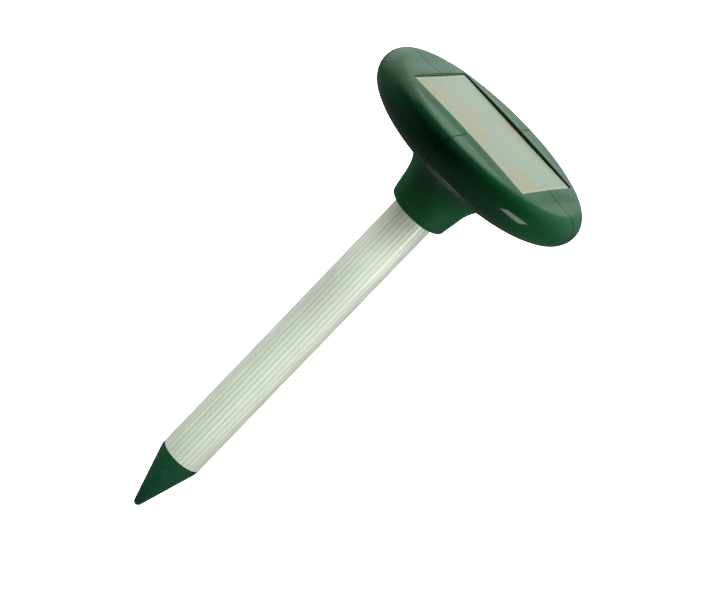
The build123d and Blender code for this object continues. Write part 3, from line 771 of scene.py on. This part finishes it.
def groove_cut(column):
    """Depth of the groove at a column, from 0 to 1."""
    offset, share = column[1], column[2]
    if share is not None:
        return 0.0
    return min(max((GROOVE_HALF + 0.05 - abs(offset)) / GROOVE_SIDE, 0.0), 1.0)


def at_recess(column, outside):
    """Point of a column at a distance outside the recess edge."""
    radius = RECESS_Y
    for _ in range(4):
        angle = column_angle(column, radius)
        radius = recess_reach(angle, outside)
    return radius, angle


def top_point(column, radius):
    """Point of the cover's upper side, frame and groove included."""
    angle = column_angle(column, radius)
    x, y = radius * cos(angle), radius * sin(angle)
    z = outline_at(travel_to(radius))[1]
    raised = frame_height(x, y, outside_frame(x, y))
    z = soft_most(z, raised, FRAME_BLEND) if raised > z - FRAME_BLEND else z
    return x, y, z - GROOVE_DEPTH * groove_cut(column)


def wrapped_point(column, travel, depth=0.0):
    """Point of the cover's rim and underside, at a depth under its skin."""
    radius, z, across, up = outline_at(travel)
    if depth == 0.0:
        depth = GROOVE_DEPTH * groove_cut(column)
    angle = column_angle(column, radius)
    radius -= depth * across
    return radius * cos(angle), radius * sin(angle), z - depth * up


def recess_points(column):
    """Points from the middle of the recess floor, up its wall and over its softened edge."""
    reach, angle = at_recess(column, 0.0)
    top = top_point(column, reach)[2]
    points = [turned_to(angle, reach * share, RECESS_FLOOR) for share in (0.06, 0.5, 0.97)]
    heights = (RECESS_FLOOR, (RECESS_FLOOR + top) / 2, top - EDGE_ROUND)
    points += [turned_to(angle, reach, height) for height in heights]
    for step in (0.3, 0.6, 1.0):
        outside = EDGE_ROUND * (1 - cos(step * pi / 2))
        drop = EDGE_ROUND * (1 - sin(step * pi / 2))
        x, y, z = top_point(column, at_recess(column, outside)[0])
        points.append((x, y, z - drop))
    return points


def rim_points(column):
    """Points from the end of the frame's slope, round the rim and under it to the parting."""
    start = travel_to(at_recess(column, FRAME_STEPS[-1])[0])
    end = travel_under(PARTING_TOP)
    points = []
    for index in range(1, RIM_RINGS + 1):
        travel = start + (end - EDGE_ROUND - start) * index / RIM_RINGS
        radius, _, _, up = outline_at(travel)
        x, y, z = wrapped_point(column, travel)
        if up > FRAME_SHOWS:
            z = max(z, top_point(column, radius)[2])
        points.append((x, y, z))
    radius, z, _, _ = outline_at(end)
    angle = column_angle(column, radius)
    for step in (0.35, 0.7, 1.0):
        inward = EDGE_ROUND * sin(step * pi / 2)
        rise = EDGE_ROUND * (1 - cos(step * pi / 2))
        points.append(turned_to(angle, radius + EDGE_ROUND - inward, z + rise * 1.1))
    return points


def inner_points(column):
    """Points back from the parting, along the wall's inner skin and under the tray."""
    start = travel_to(at_recess(column, TRAY_WALL)[0])
    end = travel_under(PARTING_TOP) + 1.2
    steps = [start + (end - start) * index / INNER_RINGS for index in range(INNER_RINGS + 1)]
    points = [wrapped_point(column, travel, SHELL_WALL) for travel in steps]
    foot = points.pop()[2]
    points.append(turned_to(column_angle(column, PARTING_TOP), PARTING_TOP, foot))
    points.reverse()
    tray = RECESS_FLOOR - TRAY_FLOOR
    reach, angle = at_recess(column, TRAY_WALL)
    points.append(turned_to(angle, reach, tray + 0.6))
    points += [turned_to(angle, reach * share, tray) for share in (0.992, 0.5, 0.06)]
    return points


def cover_column(column):
    """Loop of points down one column of the top cover, from the recess floor round to the tray."""
    frame_points = [top_point(column, at_recess(column, step)[0]) for step in FRAME_STEPS]
    return recess_points(column) + frame_points + rim_points(column) + inner_points(column)


def bar(x, y, radius, bottom, top, columns=24, bore=0.0, bore_top=None):
    """Upright round bar as points and faces, with a blind bore from below if one is given."""
    section = [(0, top), (radius - 0.2, top), (radius, top - 0.2), (radius, bottom + 0.1)]
    section.append((radius - 0.1, bottom))
    if bore:
        section += [(bore + 0.1, bottom), (bore, bottom + 0.1), (bore, bore_top), (0, bore_top)]
    else:
        section.append((0, bottom))
    points, faces = turned_mesh(section, columns)
    return [(px + x, py + y, pz) for px, py, pz in points], faces


def joined(*shapes):
    """Several (points, faces) shapes as one."""
    points, faces = [], []
    for shape_points, shape_faces in shapes:
        first = len(points)
        points += shape_points
        faces += [tuple(first + index for index in face) for face in shape_faces]
    return points, faces


def screw_places():
    for angle in SCREW_ANGLES:
        yield SCREW_CIRCLE * cos(radians(angle)), SCREW_CIRCLE * sin(radians(angle))


def make_top_cover():
    """Upper shell: crown, rolled rim and raised frame in one skin, with its tray and bosses."""
    columns = head_columns()
    loops = [cover_column(column) for column in columns]
    rings = len(loops[0])
    points = [loop[ring] for ring in range(rings) for loop in loops]
    count = len(columns)
    faces = turned_faces(rings, count) + pole_faces(len(points), rings, count)
    points += [(0, 0, RECESS_FLOOR), (0, 0, RECESS_FLOOR - TRAY_FLOOR)]
    shapes = [(points, faces)]
    for x, y in screw_places():
        shapes.append(bar(x, y, POST_RADIUS, POST_FOOT, POST_TOP, bore=PILOT_RADIUS, bore_top=PILOT_TOP))
    points, faces = joined(*shapes)
    return add_piece("top_shell", points, faces, "head_plastic", "head", ["head_top_cover"], 50.0)


# ---- head bottom cover
def outer_neck_section(flare, parting_z):
    """Outer skin of the bottom cover, from the parting down to the neck's lip."""
    rounding = (PARTING_BOTTOM - EDGE_ROUND, parting_z + EDGE_ROUND)
    section = arc_points(rounding, EDGE_ROUND, 0, -pi / 2, 4)
    start = acos((PARTING_BOTTOM - 0.8 - FLARE_CENTRE) / UNDER_RADIUS)
    section += arc_points((FLARE_CENTRE, UNDER_CENTRE), UNDER_RADIUS, -start, -pi / 2, 12)
    section += arc_points(flare, FLARE_RADIUS, pi / 2, pi - NECK_TAPER, 36)[1:]
    end_x, end_z = section[-1]
    foot_x = end_x - (end_z - NECK_MOUTH) * tan(NECK_TAPER)
    run = NECK_LIP_RADIUS * tan((pi / 2 - NECK_TAPER) / 2)
    lip = (foot_x - run, NECK_MOUTH + NECK_LIP_RADIUS)
    lip_x = lip[0] + NECK_LIP_RADIUS * cos(NECK_TAPER)
    lip_z = lip[1] - NECK_LIP_RADIUS * sin(NECK_TAPER)
    section += straight(section[-1], (lip_x, lip_z), 14)[1:]
    section += arc_points(lip, NECK_LIP_RADIUS, -NECK_TAPER, -pi / 2, 12)[1:]
    return section, end_x, end_z


def inner_neck_section(flare, end_x, end_z):
    """Inner skin, from the neck's mouth up the tube's socket and back out to the parting."""
    ledge_bottom = tube_high.z + 0.2
    ledge_top = ledge_bottom + LEDGE_THICKNESS
    section = arc_points((SOCKET_RADIUS + 0.4, NECK_MOUTH + 0.4), 0.4, -pi / 2, -pi, 5)
    section += [(SOCKET_RADIUS, ledge_bottom), (LEAD_HOLE, ledge_bottom), (LEAD_HOLE, ledge_top)]
    section += [(SLEEVE_RADIUS, ledge_top), (SLEEVE_RADIUS, SLEEVE_TOP)]
    inner_foot = end_x - SHELL_WALL / cos(NECK_TAPER) - (end_z - SLEEVE_TOP) * tan(NECK_TAPER)
    section += [(inner_foot, SLEEVE_TOP)]
    section += arc_points(flare, FLARE_RADIUS + SHELL_WALL, pi - NECK_TAPER, pi / 2, 20)
    under = (FLARE_CENTRE, UNDER_CENTRE)
    section += arc_points(under, UNDER_RADIUS - SHELL_WALL, -pi / 2, -1.34, 5)[1:]
    inner = PARTING_BOTTOM - INNER_WALL
    section += [(inner, section[-1][1] + 0.6), (inner, INNER_WALL_TOP - 0.2)]
    section += [(inner + 0.2, INNER_WALL_TOP), (PARTING_BOTTOM - 0.2, INNER_WALL_TOP)]
    section += [(PARTING_BOTTOM, INNER_WALL_TOP - 0.2)]
    return section


def make_bottom_cover():
    """Lower shell: underside, flare and neck, with the tube's socket, seats and button hole."""
    flare = (FLARE_CENTRE, RIM_PLANE - FLARE_DROP - FLARE_RADIUS)
    parting_z = outline_at(travel_under(PARTING_BOTTOM))[1]
    section, end_x, end_z = outer_neck_section(flare, parting_z)
    section += inner_neck_section(flare, end_x, end_z)
    mesh = mesh_of("bottom_shell", *turned_mesh(section, 256))
    seat = (SEAT_BOSS_RADIUS, SEAT_BOSS_FOOT, SEAT_BOSS_TOP)
    bosses = [bar(x, y, *seat, 32) for x, y in screw_places()]
    boss_radius = BUTTON_RADIUS + BUTTON_BOSS_WALL
    bosses.append(bar(0, BUTTON_Y, boss_radius, BUTTON_BOSS_FOOT, button_high.z - BUTTON_FLANGE, 48))
    counterbore = (COUNTERBORE_RADIUS, CUT_START, COUNTERBORE_TOP)
    cutters = [bar(x, y, *counterbore, 32) for x, y in screw_places()]
    cutters.append(bar(0, BUTTON_Y, BUTTON_RADIUS + BUTTON_GAP, CUT_START, BUTTON_HOLE_TOP, 48))
    mesh = carved(mesh, bosses, "UNION")
    mesh = carved(mesh, cutters, "DIFFERENCE")
    close_seams(mesh)
    return place_piece("bottom_shell", mesh, "head_plastic", "head", ["head_bottom_cover"], 40.0)


def carved(mesh, shapes, how):
    """The mesh with other shapes joined to it or cut from it."""
    tool_mesh = mesh_of("tool", *joined(*shapes))
    for each in (mesh, tool_mesh):
        face_outwards(each)
    body = put_in_scene("work", mesh)
    tool = put_in_scene("tool", tool_mesh)
    modifier = body.modifiers.new("carve", "BOOLEAN")
    modifier.operation = how
    modifier.solver = "EXACT"
    modifier.object = tool
    result = result_of(body)
    bpy.data.objects.remove(tool)
    return result


def result_of(holder):
    """Mesh that an object's modifiers make; the object itself is removed."""
    made = holder.evaluated_get(bpy.context.evaluated_depsgraph_get())
    mesh = bpy.data.meshes.new_from_object(made)
    bpy.data.objects.remove(holder)
    return mesh


def close_seams(mesh):
    """Merges points that a Boolean left on top of one another and drops faces without area."""
    work = bmesh.new()
    work.from_mesh(mesh)
    bmesh.ops.remove_doubles(work, verts=work.verts, dist=0.000002)
    bmesh.ops.dissolve_degenerate(work, edges=work.edges, dist=0.000001)
    work.to_mesh(mesh)
    work.free()


def face_outwards(mesh):
    work = bmesh.new()
    work.from_mesh(mesh)
    bmesh.ops.recalc_face_normals(work, faces=work.faces)
    work.to_mesh(mesh)
    work.free()


# ---- stake
def tube_profile():
    """Angles and radii once round the tube: a flute, then three points on the land beside it."""
    pitch = 2 * pi / FLUTE_COUNT
    flute = FLUTE_HALF / TUBE_RADIUS
    profile = []
    for index in range(FLUTE_COUNT):
        middle = index * pitch
        profile += [(middle + share * flute, TUBE_RADIUS - depth) for share, depth in FLUTE_SHAPE]
        land = pitch - 2 * flute
        profile += [(middle + flute + share * land, TUBE_RADIUS) for share in (0.25, 0.5, 0.75)]
    return profile


def make_tube():
    """Extruded tube: flat lands with rounded flutes between them, and a smooth seat above."""
    profile = tube_profile()
    bottom, top = tube_low.z, tube_high.z
    levels = [(bottom, TUBE_RADIUS - 0.15), (bottom + 0.15, TUBE_RADIUS)]
    length = SEAT_START - bottom
    levels += [(bottom + length * index / TUBE_RINGS, TUBE_RADIUS) for index in range(1, TUBE_RINGS)]
    levels += [(SEAT_START - 0.15, TUBE_RADIUS), (SEAT_START, TUBE_RADIUS - 0.15)]
    levels += [(SEAT_START, SEAT_RADIUS), (top - 0.3, SEAT_RADIUS), (top, SEAT_RADIUS - 0.3)]
    levels += [(top, TUBE_BORE + 0.2), (top - 0.2, TUBE_BORE)]
    levels += [(bottom + 0.2, TUBE_BORE), (bottom, TUBE_BORE + 0.2)]
    points = [turned_to(a, min(r, limit), height) for height, limit in levels for a, r in profile]
    faces = [face[::-1] for face in turned_faces(len(levels), len(profile), closed=True)]
    return add_piece("fluted_tube", points, faces, "tube_aluminium", "stake", ["stake_tube"], 30.0)


def make_ground_tip():
    """Pointed tip with its shoulder under the tube and the hollow spigot inside it."""
    shoulder = (TUBE_RADIUS - SHOULDER_RADIUS, tube_low.z)
    rise = shoulder[1] - NOSE_RADIUS
    lean = asin((SHOULDER_RADIUS - NOSE_RADIUS) / hypot(rise, shoulder[0]))
    half = lean - atan2(-shoulder[0], rise)
    spigot, bore, top = SPIGOT_RADIUS, SPIGOT_RADIUS - SPIGOT_WALL, tip_high.z
    groove_low, groove_high = SEAL_GROOVE_Z - SEAL_GROOVE_HALF, SEAL_GROOVE_Z + SEAL_GROOVE_HALF
    groove = spigot - SEAL_GROOVE_DEPTH
    section = [(0, SPIGOT_FLOOR), (bore - 0.4, SPIGOT_FLOOR), (bore, SPIGOT_FLOOR + 0.4), (bore, top)]
    section += [(spigot - 0.4, top), (spigot, top - 0.4), (spigot, groove_high)]
    section += [(groove, groove_high), (groove, groove_low), (spigot, groove_low)]
    section += [(spigot, tube_low.z), (TUBE_RADIUS - 0.2, tube_low.z)]
    section += arc_points(shoulder, SHOULDER_RADIUS, -0.012, -half, 26)
    nose = arc_points((0, NOSE_RADIUS), NOSE_RADIUS, -half, -pi / 2, 14)
    section += straight(section[-1], nose[0], 26)[1:-1]
    section += nose[:-1] + [(0, 0)]
    points, faces = turned_mesh(section, 128)
    return add_piece("ground_tip", points, faces, "tip_plastic", "stake", ["cone_tip"], 35.0)


# ---- panel and button
def panel_outline(shrink):
    """Corner points of the panel's rounded outline, moved in by an amount."""
    loop = []
    radius = PANEL_CORNER - shrink
    for quarter in range(4):
        x = (panel_high.x - PANEL_CORNER) * (1 if quarter in (0, 3) else -1)
        y = (panel_high.y - PANEL_CORNER) * (1 if quarter < 2 else -1)
        for step in range(7):
            angle = (quarter + step / 6) * pi / 2
            loop.append((x + radius * cos(angle), y + radius * sin(angle)))
    return loop


def make_panel():
    """Resin sheet with a softened edge and the slight dome of a cast surface."""
    top = panel_high.z
    rims = [(0.0, panel_low.z), (0.0, top - 0.3), (0.1, top - 0.1), (0.3, top - 0.02)]
    loops = [[(x, y, height) for x, y in panel_outline(shrink)] for shrink, height in rims]
    for share in (0.98, 0.9, 0.7, 0.4, 0.1):
        height = top - 0.02 * share
        loops.append([(x * share, y * share, height) for x, y in panel_outline(0.3)])
    points = [point for loop in loops for point in loop]
    count = len(loops[0])
    faces = [face[::-1] for face in turned_faces(len(loops), count)]
    last = len(points) - count
    faces.append(tuple(last + index for index in range(count)))
    faces.append(tuple(reversed(range(count))))
    return add_piece("panel_resin_sheet", points, faces, "panel_resin", "head", ["panel_cover"], 30.0)


def make_button():
    """Push button: dished face, rounded edge and the flange that keeps it in its hole."""
    bottom, top = button_low.z, button_high.z
    flange = BUTTON_RADIUS + BUTTON_FLANGE
    section = [(0, top), (flange - 0.2, top), (flange, top - 0.2), (flange, top - 0.8)]
    section += [(flange - 0.2, top - 1.0), (BUTTON_RADIUS, top - 1.0)]
    section += arc_points((BUTTON_RADIUS - 1.0, bottom + 1.0), 1.0, 0, -pi / 2, 8)
    dish = [(share, 1 - share**2) for share in (0.7, 0.5, 0.3, 0.1, 0)]
    section += [(BUTTON_RADIUS * share, bottom + BUTTON_DISH * depth) for share, depth in dish]
    points, faces = turned_mesh(section, 64)
    points = [(x, y + BUTTON_Y, z) for x, y, z in points]
    return add_piece("push_button", points, faces, "button_rubber", "button", ["power_button"], 35.0)


# ---- shell screws
def screw_mesh():
    """One pan-head screw, pointing up, with a cross recess, at the origin."""
    top = SCREW_HEAD_HEIGHT + SCREW_LENGTH
    section = [(0, top), (SCREW_SHANK * 0.4, top), (SCREW_SHANK, top - 0.9)]
    for index in range(int((SCREW_LENGTH - 2.0) / THREAD_PITCH)):
        root = top - 1.2 - index * THREAD_PITCH
        section += [(SCREW_SHANK - 0.3, root), (SCREW_SHANK, root - THREAD_PITCH * 0.45)]
    section += [(SCREW_SHANK - 0.2, SCREW_HEAD_HEIGHT + 0.4), (SCREW_SHANK, SCREW_HEAD_HEIGHT)]
    section += [(SCREW_HEAD_RADIUS - 0.1, SCREW_HEAD_HEIGHT)]
    section += [(SCREW_HEAD_RADIUS, SCREW_HEAD_HEIGHT - 0.15), (SCREW_HEAD_RADIUS, 0.9)]
    section += arc_points((SCREW_HEAD_RADIUS - 0.8, 0.8), 0.8, 0, -pi / 2, 6)
    section += [(0, 0)]
    mesh = mesh_of("screw", *turned_mesh(section, 32))
    for turn in (0.0, pi / 2):
        mesh = carved(mesh, [cross_arm(turn)], "DIFFERENCE")
    return mesh


def cross_arm(turn):
    """One tapered bar of the cross recess, turned about the screw's axis."""
    half_long, half_wide, depth = SCREW_HEAD_RADIUS * 0.58, 0.42, 0.95
    corners = [(half_long * x, half_wide * y) for x, y in ((-1, -1), (1, -1), (1, 1), (-1, 1))]
    points = [
        (size * (x * cos(turn) - y * sin(turn)), size * (x * sin(turn) + y * cos(turn)), height)
        for height, size in ((-0.3, 1.0), (depth, 0.45)) for x, y in corners
    ]
    sides = [(i, (i + 1) % 4, 4 + (i + 1) % 4, 4 + i) for i in range(4)]
    return points, sides + [(3, 2, 1, 0), (4, 5, 6, 7)]


def make_shell_screws():
    """Six screws instanced on the screw circle by a node tree with named inputs."""
    screw = put_in_scene("one_screw", screw_mesh())
    tree = bpy.data.node_groups.new("screw_circle", "GeometryNodeTree")
    tree.interface.new_socket("Geometry", in_out="OUTPUT", socket_type="NodeSocketGeometry")
    names = {}
    for name, kind in (
        ("Places", "NodeSocketGeometry"),
        ("Screw", "NodeSocketObject"),
        ("Height", "NodeSocketFloat"),
        ("Turn", "NodeSocketFloat"),
        ("Seed", "NodeSocketInt"),
        ("Finish", "NodeSocketMaterial"),
    ):
        names[name] = tree.interface.new_socket(name, in_out="INPUT", socket_type=kind).identifier
    wire = Wire(tree)
    given = wire.add("NodeGroupInput", out="Places")
    shape = wire.add(
        "GeometryNodeObjectInfo", {"transform_space": "ORIGINAL"},
        {"Object": given.pick("Screw")}, "Geometry",
    )
    angle = wire.add(
        "FunctionNodeRandomValue", {"data_type": "FLOAT"},
        {2: 0.0, 3: given.pick("Turn"), "Seed": given.pick("Seed")}, 1,
    )
    turn = wire.add("ShaderNodeCombineXYZ", {}, {"Z": angle})
    lift = wire.add("ShaderNodeCombineXYZ", {}, {"Z": given.pick("Height")})
    lifted = wire.add("GeometryNodeSetPosition", {}, {"Geometry": given, "Offset": lift})
    placed = wire.add(
        "GeometryNodeInstanceOnPoints", {},
        {"Points": lifted, "Instance": shape, "Rotation": turn},
    )
    solid = wire.add("GeometryNodeRealizeInstances", {}, {"Geometry": placed})
    coated = wire.add(
        "GeometryNodeSetMaterial", {}, {"Geometry": solid, "Material": given.pick("Finish")}
    )
    link_output(tree, coated)

    places = bpy.data.meshes.new("screw_places")
    places.from_pydata([(x * MM, y * MM, 0.0) for x, y in screw_places()], [], [])
    holder = put_in_scene("screw_holder", places)
    modifier = holder.modifiers.new("screws", "NODES")
    modifier.node_group = tree
    modifier[names["Screw"]] = screw
    modifier[names["Height"]] = screw_low.z * MM
    modifier[names["Turn"]] = pi
    modifier[names["Seed"]] = 4
    modifier[names["Finish"]] = finishes["steel"]
    mesh = result_of(holder)
    bpy.data.objects.remove(screw)
    return place_piece("cover_screws", mesh, "steel", "head", ["shell_screws"], 40.0)


def link_output(tree, wire):
    end = tree.nodes.new("NodeGroupOutput")
    tree.links.new(wire.socket, end.inputs[0])


# ---- studio
def make_floor():
    size = 6.0
    mesh = bpy.data.meshes.new("studio_floor")
    corners = [(-size, -size, 0), (size, -size, 0), (size, size, 0), (-size, size, 0)]
    mesh.from_pydata(corners, [], [(0, 1, 2, 3)])
    material, place = new_finish("pale_floor")
    cloud = noise(place, 3.0, 3.0)
    shade = blend(spread(cloud, 0.3, 0.7), (0.93, 0.93, 0.93), (0.95, 0.95, 0.95))
    finished(
        material, Base_Color=shade, Roughness=0.9 + cloud * 0.05, Specular_IOR_Level=0.0,
        Emission_Color=shade, Emission_Strength=1.1,
    )
    mesh.materials.append(material)
    floor_sheet = put_in_scene("studio_floor", mesh)
    floor_sheet.location.z = -0.0005
    floor_sheet.visible_glossy = False
    floor_sheet.visible_diffuse = False
    floor_sheet.visible_shadow = False


def softbox(name, azimuth, height, distance, size, power, aim=0.2, glossy=True, cone=180.0, roll=0.0):
    """Area light aimed at a point on the axis; azimuth 0 stands at -Y and turns towards +X."""
    data = bpy.data.lights.new(name, "AREA")
    data.shape = "RECTANGLE"
    data.size, data.size_y = size
    data.energy = power
    data.spread = radians(cone)
    a = radians(azimuth)
    place = Vector((sin(a) * distance, -cos(a) * distance, height))
    lamp = put_in_scene(name, data)
    lamp.location = place
    lamp.rotation_mode = "QUATERNION"
    facing = (Vector((0, 0, aim)) - place).to_track_quat("-Z", "Y").to_matrix()
    lamp.rotation_quaternion = (facing @ Matrix.Rotation(radians(roll), 3, "Z")).to_quaternion()
    lamp.visible_glossy = glossy
    lamp.visible_camera = False


def make_world():
    """Surroundings: white for the camera; in reflections a sweep behind, fainter at the right."""
    world = bpy.data.worlds.new("studio")
    world.use_nodes = True
    tree = world.node_tree
    tree.nodes.clear()
    wire = Wire(tree)
    x, y, z = axis_parts(wire.add("ShaderNodeTexCoord", out="Generated"))
    front = x * sin(CAMERA_AZIMUTH) - y * cos(CAMERA_AZIMUTH)
    side = x * cos(CAMERA_AZIMUTH) + y * sin(CAMERA_AZIMUTH)
    sweep = spread(front, -0.3, -0.1, 0.58, 0.0) * spread(z, 0.76, 0.82, 1.0, 0.0)
    sweep = sweep * spread(z, -0.3, 0.12, 0.05, 1.0) * spread(side, 0.0, 0.2, 1.0, 0.3)
    sweep = sweep * spread(side, -0.9, -0.6, 0.45, 1.0)
    left = spread(side, -0.85, -0.5, 0.1, 0.0) * spread(z, 0.1, 0.5, 1.0, 0.0)
    below = spread(z, -0.6, -0.1, 0.1, 0.025)
    level = sweep.sum("MAXIMUM", sweep, left)
    level = level.sum("MAXIMUM", level, below) + 0.004
    seen = wire.add("ShaderNodeLightPath", out="Is Camera Ray")
    level = seen + (1.0 - seen) * level
    glow = wire.add("ShaderNodeBackground", {}, {"Color": (1, 1, 1, 1), "Strength": level})
    output = tree.nodes.new("ShaderNodeOutputWorld")
    tree.links.new(glow.socket, output.inputs["Surface"])
    bpy.context.scene.world = world


def make_studio():
    make_floor()
    make_world()
    softbox("back_softbox", 190, 1.35, 1.05, (1.3, 1.1), 47.0, glossy=False)
    softbox("left_softbox", -108, 0.5, 1.5, (0.9, 0.8), 19.0, glossy=False)
    softbox("right_softbox", 110, 0.5, 1.5, (0.9, 0.8), 17.0, glossy=False)
    softbox("right_strip", 77, 0.17, 1.0, (0.46, 0.34), 2.1, aim=0.3, roll=-18)
    softbox("stake_softbox", 2, 0.115, 0.8, (0.3, 0.22), 0.24, aim=0.115, glossy=False, cone=14.0)
    softbox("tube_top_softbox", 2, 0.222, 0.8, (0.25, 0.03), 0.02, aim=0.222, glossy=False, cone=5.0)
    bpy.context.scene.view_settings.view_transform = "Standard"


# ---- assembly
make_camera()
finishes = make_finishes()
for part in frame["record"]["subparts"]:
    node = nodes[part["node"]]
    node.data.materials.clear()
    node.data.materials.append(finishes[part["material_slot"]])
make_top_cover()
make_bottom_cover()
make_tube()
make_ground_tip()
make_panel()
make_button()
make_shell_screws()
make_studio()
